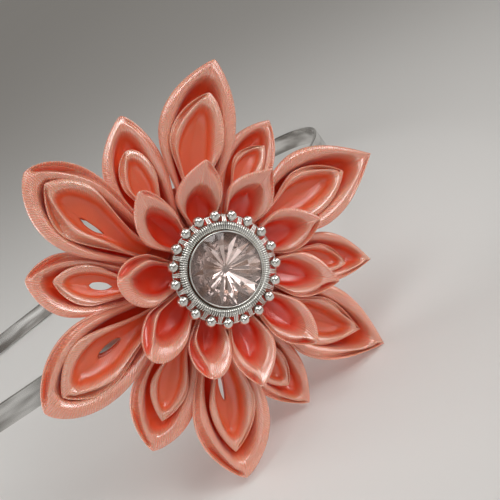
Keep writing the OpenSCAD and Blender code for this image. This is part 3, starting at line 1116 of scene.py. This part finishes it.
SMALL_INNER: list[PetalRow] = [
    (66.8, 26.7, 3.11, 73.5, 1.40, 0.43, 0.85, 0.7, 0.00, 0.8),
    (2.6, 28.4, 2.98, 10.4, 0.53, 0.43, 0.88, 0.6, 0.00, 0.8),
    (-55.4, 28.0, 3.38, -58.5, -0.73, 0.45, 0.80, 0.0, 0.00, 0.5),
    (-109.2, 30.3, 3.73, -114.2, -0.58, 0.40, 0.87, 0.0, 0.00, 0.2),
    (-175.7, 30.5, 3.82, -165.7, 0.30, 0.37, 0.75, 0.4, 0.75, 0.3),
    (126.9, 27.9, 3.58, 137.1, 0.81, 0.41, 0.58, 0.1, 0.00, 1.5),
]
TOP_ROW: list[PetalRow] = [
    (102.1, 20.4, 4.56, 112.0, 1.42, 0.44, 0.81, 0.0, 0.00, 0.2),
    (65.2, 21.0, 4.49, 74.9, 0.55, 0.45, 1.01, 0.0, 0.00, 0.2),
    (27.5, 21.1, 4.28, 38.8, 0.28, 0.44, 0.85, 0.0, 0.00, 0.5),
    (-5.6, 22.7, 4.37, 0.3, 0.32, 0.43, 0.92, 0.0, 0.00, 0.5),
    (-37.4, 22.7, 4.21, -35.6, 0.29, 0.41, 0.78, 0.0, 0.00, 0.5),
    (-72.2, 22.9, 4.60, -73.3, 1.02, 0.43, 0.87, 0.0, 0.00, 0.4),
    (-97.6, 20.2, 4.20, -107.2, -0.37, 0.40, 0.58, 0.0, 0.00, 2.1),
    (-131.5, 21.7, 4.49, -145.6, -0.32, 0.41, 0.56, 0.0, 0.00, 2.3),
    (-173.2, 20.6, 4.85, -177.1, 0.59, 0.43, 0.56, 0.0, 0.00, 1.7),
    (141.0, 21.6, 4.11, 145.3, 1.55, 0.47, 0.66, 0.0, 0.00, 0.2),
]


@dataclass
class SatinFlower:
    """The five rings of folded petals."""

    large_outer: PetalKind = PetalKind(
        ring="large_outer", rim=(6.0, 7.0, 3.2), depth=(3.4, 6.6, 2.9), base_radius=8.5, base_share=0.36,
        lip=Lip.CLOCKWISE, slot="satin_outer", flat=(0.0225, 0.0225), taper=0.97)
    large_inner: PetalKind = PetalKind(
        ring="large_inner", rim=(5.8, 6.8, 4.7), depth=(2.2, 4.5, 2.7), base_radius=13.0, base_share=0.32,
        lip=Lip.COUNTER_CLOCKWISE, slot="satin_inner", flat=(0.0155, 0.0155))
    small_outer: PetalKind = PetalKind(
        ring="small_outer", rim=(3.4, 5.0, 3.0), depth=(2.4, 4.6, 2.7), base_radius=8.5, base_share=0.36,
        lip=Lip.CLOCKWISE, slot="satin_outer", flat=(0.0173, 0.0173), taper=0.97)
    small_inner: PetalKind = PetalKind(
        ring="small_inner", rim=(3.6, 4.8, 4.1), depth=(1.5, 2.9, 2.2), base_radius=13.5, base_share=0.30,
        lip=Lip.COUNTER_CLOCKWISE, slot="satin_inner", flat=(0.0105, 0.0105))
    top_ring: PetalKind = PetalKind(
        ring="top_petal", rim=(13.2, 10.6, 8.4), depth=(2.8, 5.0, 2.6), base_radius=6.0, base_share=0.42,
        lip=Lip.CLOCKWISE, slot="satin_top", flat=(0.0135, 0.0135), tip_light=0.5, bowl_reach=0.25,
        lip_thin=0.5, slot_light=0.3)
    # Each rim colour is paler, a painted sheen, and each bowl colour deeper, a painted shade; the top ring's
    # bowl is painted darkest
    outer_satin: SatinFinish = SatinFinish("satin_outer", (0.89, 0.41, 0.27, 1.0), (0.89, 0.12, 0.035, 1.0))
    inner_satin: SatinFinish = SatinFinish("satin_inner", (0.89, 0.43, 0.29, 1.0), (0.89, 0.15, 0.045, 1.0))
    top_satin: SatinFinish = SatinFinish("satin_top", (0.89, 0.42, 0.28, 1.0), (0.88, 0.050, 0.008, 1.0))

    def build(self) -> None:
        """Makes every petal."""
        outer, inner, top = self.outer_satin.build(), self.inner_satin.build(), self.top_satin.build()
        rings = [
            (self.large_outer, LARGE_OUTER, outer),
            (self.large_inner, LARGE_INNER, inner),
            (self.small_outer, SMALL_OUTER, outer),
            (self.small_inner, SMALL_INNER, inner),
            (self.top_ring, TOP_ROW, top),
        ]
        for kind, rows, satin in rings:
            for i, row in enumerate(rows):
                node = f"{kind.ring}_{i + 1}"
                shape = PetalShape(Petal(*row), kind, BOWLS.get(node, Bowl()))
                shape.build("satin_" + node, satin, node)


@dataclass(frozen=True)
class FeltDisc:
    """A disc cut from felt, with a soft, slightly uneven edge; lengths in millimetres.

    Each wave of the edge has its number round the disc, its start in radians and its share.
    """

    name: str
    radius: float
    top: float
    thick: float
    slot: str
    node: str
    felt: FeltFinish = FeltFinish()
    soft_share: float = 0.25
    corner_share: float = 0.3
    uneven: float = 0.004
    waves: tuple[Triple, ...] = ((7.0, 0.4, 0.6), (17.0, 0.0, 0.4))
    steps: int = 128

    def profile(self) -> list[Pair]:
        """Draws the edge from the upper face round to the lower.

        Returns:
            Radius and height of each point.
        """
        soft = self.thick * self.soft_share
        corner = soft * self.corner_share
        r, high, low = self.radius, self.top, self.top - self.thick
        return [
            (r / 2, high), (r - soft, high), (r - corner, high - corner), (r, high - soft),
            (r, low + soft), (r - corner, low + corner), (r - soft, low), (r / 2, low),
        ]

    def build(self) -> None:
        """Makes the disc."""
        profile = self.profile()
        angles = np.linspace(0, math.tau, self.steps, endpoint=False)
        wave = sum(np.sin(angles * count + start) * share for count, start, share in self.waves)
        cut = 1 - self.uneven * (1 + wave)
        points = [
            (r * cut[i] * math.cos(a), r * cut[i] * math.sin(a), z)
            for i, a in enumerate(angles) for r, z in profile
        ]
        n = len(profile)
        faces: list = list(grid_faces(self.steps, n, True, False))
        faces.append(tuple(i * n for i in range(self.steps)))
        faces.append(tuple(i * n + n - 1 for i in range(self.steps))[::-1])
        piece = new_piece(self.name, np.array(points), faces)
        finish_piece(piece, [self.felt.build()], self.slot, self.node)


FELT_DISCS = (
    FeltDisc("felt_backing", radius=17.4, top=-0.15, thick=1.0, slot="backing_felt", node="backing_disc"),
    FeltDisc("felt_seat", radius=9.0, top=9.95, thick=0.5, slot="jewel_felt", node="jewel_base"),
)


# Jewel


@dataclass
class RingRepeat:
    """Geometry Nodes that set copies of one small shape round a ring."""

    name: str
    count: int
    radius: float
    first_angle: float
    height: float

    def tree(self) -> bpy.types.GeometryNodeTree:
        """Builds the tree: a circle of points, the shape on each, real copies, one material.

        Returns:
            The tree.
        """
        tree = bpy.data.node_groups.new(self.name, "GeometryNodeTree")
        kinds = {
            "Geometry": "NodeSocketGeometry", "Shape": "NodeSocketObject", "Count": "NodeSocketInt",
            "Radius": "NodeSocketFloat", "First angle": "NodeSocketFloat", "Height": "NodeSocketFloat",
            "Finish": "NodeSocketMaterial",
        }
        for label, kind in kinds.items():
            tree.interface.new_socket(label, in_out="INPUT", socket_type=kind)
        tree.interface.new_socket("Geometry", in_out="OUTPUT", socket_type="NodeSocketGeometry")
        bench = Bench(tree)
        given = tree.nodes.new("NodeGroupInput").outputs
        ring = {"Vertices": given["Count"], "Radius": given["Radius"]}
        places = bench.add("GeometryNodeMeshCircle", {}, ring)
        angle = bench.add("GeometryNodeInputIndex", {}, {}) * math.tau / Wire(bench, given["Count"])
        spin = bench.add("ShaderNodeCombineXYZ", {}, {"Z": angle})
        shape = bench.add("GeometryNodeObjectInfo", {}, {"Object": given["Shape"]}, "Geometry")
        on_each = {"Points": places, "Instance": shape, "Rotation": spin}
        copies = bench.add("GeometryNodeInstanceOnPoints", {}, on_each)
        lift = bench.add("ShaderNodeCombineXYZ", {}, {"Z": given["Height"]})
        start = bench.add("ShaderNodeCombineXYZ", {}, {"Z": given["First angle"]})
        move = {"Geometry": copies, "Translation": lift, "Rotation": start}
        moved = bench.add("GeometryNodeTransform", {}, move)
        real = bench.add("GeometryNodeRealizeInstances", {}, {"Geometry": moved})
        painted = bench.add("GeometryNodeSetMaterial", {}, {"Geometry": real, "Material": given["Finish"]})
        tree.links.new(painted.socket, tree.nodes.new("NodeGroupOutput").inputs[0])
        return tree

    def build(self, shape: bpy.types.Object, finish: bpy.types.Material) -> bpy.types.Object:
        """Runs the tree and keeps its result as a plain mesh.

        Args:
            shape: the small shape, in the flower's frame round the origin.
            finish: the material.

        Returns:
            The piece, with the small shape removed.
        """
        holder = bpy.data.objects.new(self.name, bpy.data.meshes.new(self.name))
        bpy.context.scene.collection.objects.link(holder)
        modifier = holder.modifiers.new("repeat", "NODES")
        modifier.node_group = self.tree()
        wanted = {
            "Shape": shape, "Count": self.count, "Radius": self.radius,
            "First angle": math.radians(self.first_angle), "Height": self.height, "Finish": finish,
        }
        for item in modifier.node_group.interface.items_tree:
            if item.in_out == "INPUT" and item.name in wanted:
                modifier[item.identifier] = wanted[item.name]
        holder.update_tag()
        bpy.context.view_layer.update()
        scene_now = bpy.context.evaluated_depsgraph_get()
        mesh = bpy.data.meshes.new_from_object(holder.evaluated_get(scene_now))
        mesh.transform(REST.as_matrix())
        mesh.polygons.foreach_set("use_smooth", [True] * len(mesh.polygons))
        holder.modifiers.clear()
        holder.data = mesh
        bpy.data.objects.remove(shape)
        return holder


def small_shape(name: str, points: np.ndarray, faces: Sequence[Sequence[int]]) -> bpy.types.Object:
    """Makes a shape for RingRepeat, left in the flower's frame.

    Args:
        name: what it is called until it is removed.
        points: n by 3, in millimetres round the origin.
        faces: corner numbers, counter-clockwise seen from outside.

    Returns:
        The shape.
    """
    mesh = bpy.data.meshes.new(name)
    mesh.from_pydata(points.tolist(), [], [tuple(f) for f in faces])
    shape = bpy.data.objects.new(name, mesh)
    bpy.context.scene.collection.objects.link(shape)
    return shape


# A little off the axis, so that an upright stretch of wire still has a side
NEARLY_UP = np.array([0.0, 0.0, 1.0]) + 0.013 * np.array([1.0, 0.7, 0.0])


def tube(path: np.ndarray, radius: float, sides: int, closed: bool) -> tuple[np.ndarray, list]:
    """Sweeps a round wire along a path.

    Args:
        path: n by 3 points.
        radius: the wire's.
        sides: how many sides the wire has.
        closed: the path joins up.

    Returns:
        Points and faces, end caps included.
    """
    ahead = np.roll(path, -1, axis=0) - np.roll(path, 1, axis=0)
    if not closed:
        ahead[0], ahead[-1] = path[1] - path[0], path[-1] - path[-2]
    ahead /= np.linalg.norm(ahead, axis=1)[:, None]
    first = np.cross(ahead, NEARLY_UP)
    first /= np.linalg.norm(first, axis=1)[:, None]
    second = np.cross(first, ahead)
    angles = np.linspace(0, math.tau, sides, endpoint=False)
    spokes = np.cos(angles)[None, :, None] * first[:, None] + np.sin(angles)[None, :, None] * second[:, None]
    n = len(path)
    faces: list = [tuple(reversed(f)) for f in grid_faces(n, sides, closed, True)]
    if not closed:
        faces += [tuple(range(sides)), tuple(range((n - 1) * sides, n * sides))[::-1]]
    return (path[:, None] + radius * spokes).reshape(-1, 3), faces


# Section of the setting as (radius, height): the cup's floor, its wall and the rolled lip
SETTING: list[Pair] = [
    (4.8, 10.0), (6.94, 10.0), (7.08, 10.06), (7.14, 10.2), (7.14, 11.9), (7.12, 12.05), (7.07, 12.14),
    (7.00, 12.18), (6.92, 12.15), (6.87, 12.07), (6.86, 11.95), (6.88, 10.3), (6.8, 10.22), (4.8, 10.22),
]
# Rings of the stone's corners from the top down: radius, height, by how much the corners
# go up and down in turn, and how far a corner may stray
STONE: list[tuple[float, float, float, float]] = [
    (0.60, 13.30, 0.0, 0.0),
    (3.40, 12.84, 0.0, 0.02),
    (5.60, 12.40, 0.03, 0.0),
    (6.82, 12.10, 0.0, 0.0),
    (6.82, 11.75, 0.0, 0.0),
    (4.40, 11.20, 0.12, 0.03),
    (0.60, 10.60, 0.0, 0.0),
]
# The facets from this ring down carry the foil
FIRST_FOILED = 4
# Strands of one binding: how far off its middle each starts and ends, and its extra lift
STRANDS: list[Triple] = [(-0.36, -0.24, 0.0), (-0.02, 0.03, 0.07), (0.33, 0.25, -0.03)]


@dataclass
class Jewel:
    """Crystal in its setting, the wire-wound ring and the beads bound to it, in millimetres."""

    height: float = 11.2
    facets: int = 15
    shuffle_seed: int = 7
    setting_steps: int = 160
    ring_radius: float = 8.25
    ring_steps: int = 128
    rod_radius: float = 0.50
    rod_sides: int = 16
    wire_radius: float = 0.19
    wire_sides: int = 6
    turn_points: int = 20
    lean: float = 0.15
    wraps: int = 120
    bead_ring: float = 10.05
    bead_radius: float = 1.07
    bead_points: int = 15
    bead_steps: int = 24
    drill_radius: float = 0.26
    drill_share: float = 0.6
    beads: int = 19
    first_angle: float = -2.0
    thread_radius: float = 0.10
    thread_sides: int = 8
    thread_steps: int = 96
    strand_radius: float = 0.13
    strand_sides: int = 7
    strand_points: int = 10
    strand_past: float = 0.22
    strand_arch: float = 0.78
    strand_from: float = 0.42
    strand_span: float = 0.6
    strand_down: float = 0.08
    silver: MetalFinish = MetalFinish(
        "polished_silver", bright=(0.82, 0.81, 0.78, 1.0), dull=(0.58, 0.56, 0.52, 1.0), roughness=0.07)
    wound: MetalFinish = MetalFinish(
        "wound_silver", bright=(0.84, 0.83, 0.79, 1.0), dull=(0.48, 0.46, 0.42, 1.0), roughness=0.12)
    # The rod is the ring's core; its near-black colour is painted shade in the gaps between the wire's turns
    rod: MetalFinish = MetalFinish(
        "dark_rod", bright=(0.20, 0.19, 0.17, 1.0), dull=(0.08, 0.07, 0.06, 1.0), roughness=0.5)
    stone: StoneFinish = StoneFinish()

    def build(self) -> None:
        """Makes every piece of the jewel."""
        silver, wound = self.silver.build(), self.wound.build()
        self.build_setting(silver)
        self.build_crystal()
        self.build_ring(wound)
        self.build_beads(silver)
        self.build_strands(wound)
        self.build_thread(wound)

    def build_setting(self, silver: bpy.types.Material) -> None:
        """Makes the cup with the bright lip round the stone, of this silver."""
        piece = new_piece("silver_setting", *lathe(SETTING, self.setting_steps))
        finish_piece(piece, [silver], "setting_silver", "crystal_setting")

    def build_crystal(self) -> None:
        """Makes the cut stone: long facets from a small table to a girdle, and foiled back facets."""
        n = self.facets * 2
        shuffle = np.random.default_rng(self.shuffle_seed)
        angle = math.tau * np.arange(n) / n
        rings = []
        for radius, height, fold, stray in STONE:
            level = height + fold * (-1.0) ** np.arange(n) + shuffle.uniform(-stray, stray, n)
            rings.append(np.stack([radius * np.cos(angle), radius * np.sin(angle), level], axis=1))
        last = (len(rings) - 1) * n
        faces: list = [tuple(range(n)), tuple(range(last, last + n))[::-1]]
        foiled: list[bool] = [False, True]
        for j in range(len(rings) - 1):
            for i in range(n):
                a, b = j * n + i, j * n + (i + 1) % n
                c, d = a + n, b + n
                faces += [(a, c, b), (b, c, d)] if i % 2 else [(a, d, b), (a, c, d)]
                foiled += [j >= FIRST_FOILED] * 2
        piece = new_piece("cut_crystal", np.concatenate(rings), faces, smooth=False)
        shade = piece.data.attributes.new("facet", "FLOAT", "FACE")
        shade.data.foreach_set("value", shuffle.uniform(0, 1, len(faces)).astype(np.float32))
        finish_piece(piece, [self.stone.build(), self.stone.build_foil()], "crystal_glass", "crystal")
        piece.data.polygons.foreach_set("material_index", [int(f) for f in foiled])

    def build_ring(self, wound: bpy.types.Material) -> None:
        """Makes the fine wire wound closely round its rod, and the rod.

        Args:
            wound: the wire's material.
        """
        angles = np.linspace(0, math.tau, self.turn_points, endpoint=False)
        loop = self.rod_radius + self.wire_radius / 2
        out = (loop + self.lean) * np.cos(angles) - self.lean
        path = np.stack([out, np.zeros(self.turn_points), loop * np.sin(angles)], axis=1)
        shape = small_shape("wire_turn", *tube(path, self.wire_radius, self.wire_sides, True))
        ring = RingRepeat("wound_ring", self.wraps, self.ring_radius, 0.0, self.height).build(shape, wound)
        finish_piece(ring, [wound], "wrapped_silver", "wrapped_ring")
        # The dark rod paints the gaps between the turns dark: painted shade
        profile = circle((self.ring_radius, self.height), self.rod_radius, self.rod_sides)
        core = new_piece("ring_rod", *lathe(profile, self.ring_steps))
        finish_piece(core, [self.rod.build()], "wrapped_silver")

    def build_beads(self, silver: bpy.types.Material) -> None:
        """Makes the drilled beads.

        Args:
            silver: their material.
        """
        start = math.asin(self.drill_radius / self.bead_radius)
        hole = self.bead_radius * math.cos(start) * self.drill_share
        tilt = np.linspace(start, math.pi - start, self.bead_points)
        profile = [(self.bead_radius * math.sin(t), self.bead_radius * math.cos(t)) for t in tilt]
        profile += [(self.drill_radius, -hole), (self.drill_radius, hole)]
        points, faces = lathe(profile, self.bead_steps)
        lying = points[:, [0, 2, 1]] * np.array([1, 1, -1])
        shape = small_shape("bead", lying, [tuple(reversed(f)) for f in faces])
        first = self.first_angle + 180.0 / self.beads
        ring = RingRepeat("ring_of_beads", self.beads, self.bead_ring, first, self.height)
        finish_piece(ring.build(shape, silver), [silver], "bead_silver", "silver_beads")

    def build_strands(self, wound: bpy.types.Material) -> None:
        """Makes the strands that bind the thread to the ring.

        Args:
            wound: their material.
        """
        parts: list[np.ndarray] = []
        faces: list = []
        reach = self.bead_ring - self.ring_radius
        t = np.linspace(0, 1, self.strand_points)
        bend = np.sin(math.pi * (self.strand_from + self.strand_span * t))
        arch = self.strand_arch * bend - self.strand_down
        for near, far, lift in STRANDS:
            out = -reach + t * (reach + self.strand_past)
            path = np.stack([out, near + (far - near) * t, arch + lift * (1 - t)], axis=1)
            points, quads = tube(path, self.strand_radius, self.strand_sides, False)
            before = sum(len(p) for p in parts)
            parts.append(points)
            faces += [tuple(c + before for c in q) for q in quads]
        shape = small_shape("strands", np.concatenate(parts), faces)
        ties = RingRepeat("binding_strands", self.beads, self.bead_ring, self.first_angle, self.height)
        finish_piece(ties.build(shape, wound), [wound], "silver_wire", "bead_wire")

    def build_thread(self, wound: bpy.types.Material) -> None:
        """Makes the thread through the beads.

        Args:
            wound: its material.
        """
        profile = circle((self.bead_ring, self.height), self.thread_radius, self.thread_sides)
        thread = new_piece("bead_thread", *lathe(profile, self.thread_steps))
        finish_piece(thread, [wound], "silver_wire")


# Band


@dataclass
class SteelBand:
    """The flat strip bent to a U, with round ends; in millimetres and degrees."""

    width: float = 5.0
    thick: float = 0.9
    eased: float = 0.16
    half: float = 62.5
    arch: float = 54.0
    arch_points: int = 145
    arm: float = 76.0
    arm_points: int = 41
    toe: float = 14.0
    flower_at: float = 68.0
    turned: float = 39.0
    behind: float = -1.7
    stations: int = 190
    nose_stations: int = 12
    least: float = 0.02
    end_half: float = 0.1
    sharp: float = 30.0
    steel: StripFinish = StripFinish()

    def centre_line(self) -> np.ndarray:
        """Draws the strip's centre line in its own plane.

        Returns:
            Points as (along the strip at the flower, out to the flower).
        """
        arms = np.linspace(0, 1, self.arm_points)[1:]
        bow = np.radians(np.linspace(-90, 90, self.arch_points))
        left = np.stack([-self.arm * arms, -(self.half - self.toe * arms ** 2)], axis=1)[::-1]
        right = np.stack([-self.arm * arms, self.half - self.toe * arms ** 2], axis=1)
        crown = np.stack([self.arch * np.cos(bow), self.half * np.sin(bow)], axis=1)
        line = np.concatenate([left, crown, right])
        at = math.radians(self.flower_at)
        seat = np.array([self.arch * math.cos(at), self.half * math.sin(at)])
        out = np.array([self.half * math.cos(at), self.arch * math.sin(at)])
        out /= np.linalg.norm(out)
        along = np.array([out[1], -out[0]])
        for end, beside in ((0, 1), (-1, -2)):
            ahead = line[end] - line[beside]
            line[end] += ahead / np.linalg.norm(ahead) * self.width / 2
        return np.stack([(line - seat) @ along, (line - seat) @ out + self.behind], axis=1)

    def section(self) -> list[Triple]:
        """Draws the strip's section with eased edges.

        Returns:
            Side, level, and how far in from the side, of each corner.
        """
        t, e = self.thick / 2, self.eased
        return [
            (-1, -t + e, 0), (-1, t - e, 0), (-1, t, e), (1, t, e),
            (1, t - e, 0), (1, -t + e, 0), (1, -t, e), (-1, -t, e),
        ]

    def places(self, total: float) -> tuple[np.ndarray, np.ndarray]:
        """Sets the stations, closer together at the round ends.

        Args:
            total: the strip's length.

        Returns:
            How far along each station is, and the strip's half width there.
        """
        nose = self.width / 2
        near = nose * (1 - np.cos(np.linspace(0, math.pi / 2, self.nose_stations)))
        middle = np.linspace(nose, total - nose, self.stations)[1:-1]
        at = np.concatenate([near, middle, total - near[::-1]])
        at[0], at[-1] = self.least, total - self.least
        inset = np.minimum(at, total - at)
        rounded = np.sqrt(np.maximum(nose ** 2 - (nose - inset) ** 2, self.end_half ** 2))
        return at, np.where(inset < nose, rounded, nose)

    def build(self) -> None:
        """Makes the strip and the map that its scratches follow."""
        line = self.centre_line()
        length = np.concatenate([[0], np.cumsum(np.linalg.norm(np.diff(line, axis=0), axis=1))])
        at, half = self.places(length[-1])
        centre = np.stack([np.interp(at, length, line[:, k]) for k in range(2)], axis=1)
        ahead = np.gradient(centre, axis=0)
        ahead /= np.linalg.norm(ahead, axis=1)[:, None]
        normal = np.stack([-ahead[:, 1], ahead[:, 0]], axis=1)
        phi = math.radians(self.turned)
        along = np.array([math.cos(phi), math.sin(phi), 0])
        beside = np.array([-math.sin(phi), math.cos(phi), 0])
        out = np.array([0.0, 0.0, 1.0])
        section = self.section()
        points, strip = [], []
        for i, place in enumerate(at):
            for side, level, inward in section:
                flat = centre[i] + normal[i] * level
                sideways = side * max(half[i] - inward, self.least)
                points.append(flat[0] * along + flat[1] * out + sideways * beside)
                strip.append((place, side * half[i]))
        n = len(section)
        last = (len(at) - 1) * n
        faces: list = [tuple(reversed(f)) for f in grid_faces(len(at), n, False, True)]
        faces += [tuple(range(n)), tuple(range(last, last + n))[::-1]]
        piece = new_piece("steel_strip", np.array(points), faces)
        mesh = piece.data
        corners = np.zeros(len(mesh.loops), np.int32)
        mesh.loops.foreach_get("vertex_index", corners)
        layer = mesh.uv_layers.new(name="strip")
        layer.data.foreach_set("uv", np.array(strip)[corners].astype(np.float32).ravel())
        mesh.set_sharp_from_angle(angle=math.radians(self.sharp))
        finish_piece(piece, [self.steel.build()], "band_steel", "steel_band")


# Studio


@dataclass(frozen=True)
class Lamp:
    """A square soft light; its angles are in degrees round and above the flower."""

    name: str
    around: float
    up: float
    distance: float
    size: float
    power: float
    spread: float = 180.0


@dataclass
class Studio:
    """Plain pale floor and soft lights, in metres."""

    floor_colour: Colour = (0.82, 0.81, 0.79, 1.0)
    floor_shade: float = 0.97
    floor_grain: float = 4.0
    floor_roughness: float = 0.85
    reach: float = 6.0
    flower: Triple = (0.03, -0.06, 0.03)
    sky: Colour = (1.0, 0.955, 0.90, 1.0)
    sky_strength: float = 0.235
    lamps: tuple[Lamp, ...] = (
        Lamp("side_window", 170.0, 14.0, 0.45, 0.30, 0.92),
        Lamp("front_left", 250.0, 18.0, 0.50, 0.30, 0.22),
        Lamp("low_left", 205.0, 8.0, 0.50, 0.30, 0.09),
        Lamp("right_side", 0.0, 20.0, 0.45, 0.25, 0.060, spread=60.0),
        Lamp("right_key", 320.0, 38.0, 0.45, 0.20, 0.045, spread=40.0),
        Lamp("top_pool", 270.0, 80.0, 0.40, 0.25, 0.055, spread=60.0),
    )

    def build_floor(self) -> None:
        """Makes a wide matt floor."""
        mesh = bpy.data.meshes.new("floor")
        r = self.reach
        mesh.from_pydata([(-r, -r, 0), (r, -r, 0), (r, r, 0), (-r, r, 0)], [], [(0, 1, 2, 3)])
        floor = bpy.data.objects.new("floor", mesh)
        bpy.context.scene.collection.objects.link(floor)
        material, bench, shader = new_material("matt_floor")
        cloud = bench.noise(bench.object_place(), self.floor_grain, detail=2.0)
        darker = tuple(c * self.floor_shade for c in self.floor_colour[:3]) + (1.0,)
        bench.paint(shader, {
            "Base Color": bench.blend(cloud, self.floor_colour, darker),
            "Roughness": self.floor_roughness,
        })
        mesh.materials.append(material)

    def light(self, lamp: Lamp) -> None:
        """Adds a square soft light that looks at the flower.

        Args:
            lamp: its place, size and power.
        """
        around, up = math.radians(lamp.around), math.radians(lamp.up)
        away = Vector((math.cos(around) * math.cos(up), math.sin(around) * math.cos(up), math.sin(up)))
        data = bpy.data.lights.new(lamp.name, "AREA")
        data.size, data.energy = lamp.size, lamp.power
        data.spread = math.radians(lamp.spread)
        made = bpy.data.objects.new(lamp.name, data)
        bpy.context.scene.collection.objects.link(made)
        made.location = Vector(self.flower) + away * lamp.distance
        made.rotation_mode = "QUATERNION"
        made.rotation_quaternion = (-away).to_track_quat("-Z", "Y")

    def build(self) -> None:
        """Adds floor, sky and lights."""
        self.build_floor()
        world = bpy.data.worlds.new("studio")
        world.use_nodes = True
        sky = world.node_tree.nodes["Background"].inputs
        sky["Color"].default_value = self.sky
        sky["Strength"].default_value = self.sky_strength
        bpy.context.scene.world = world
        for lamp in self.lamps:
            self.light(lamp)


def main() -> None:
    """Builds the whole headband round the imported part."""
    logging.basicConfig(level=logging.INFO, format="%(name)s %(message)s")
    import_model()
    PhotoCamera().build()
    SatinFlower().build()
    for disc in FELT_DISCS:
        disc.build()
    Jewel().build()
    SteelBand().build()
    Studio().build()
    bpy.context.scene.view_settings.view_transform = "Standard"


if __name__ == "__main__":
    main()
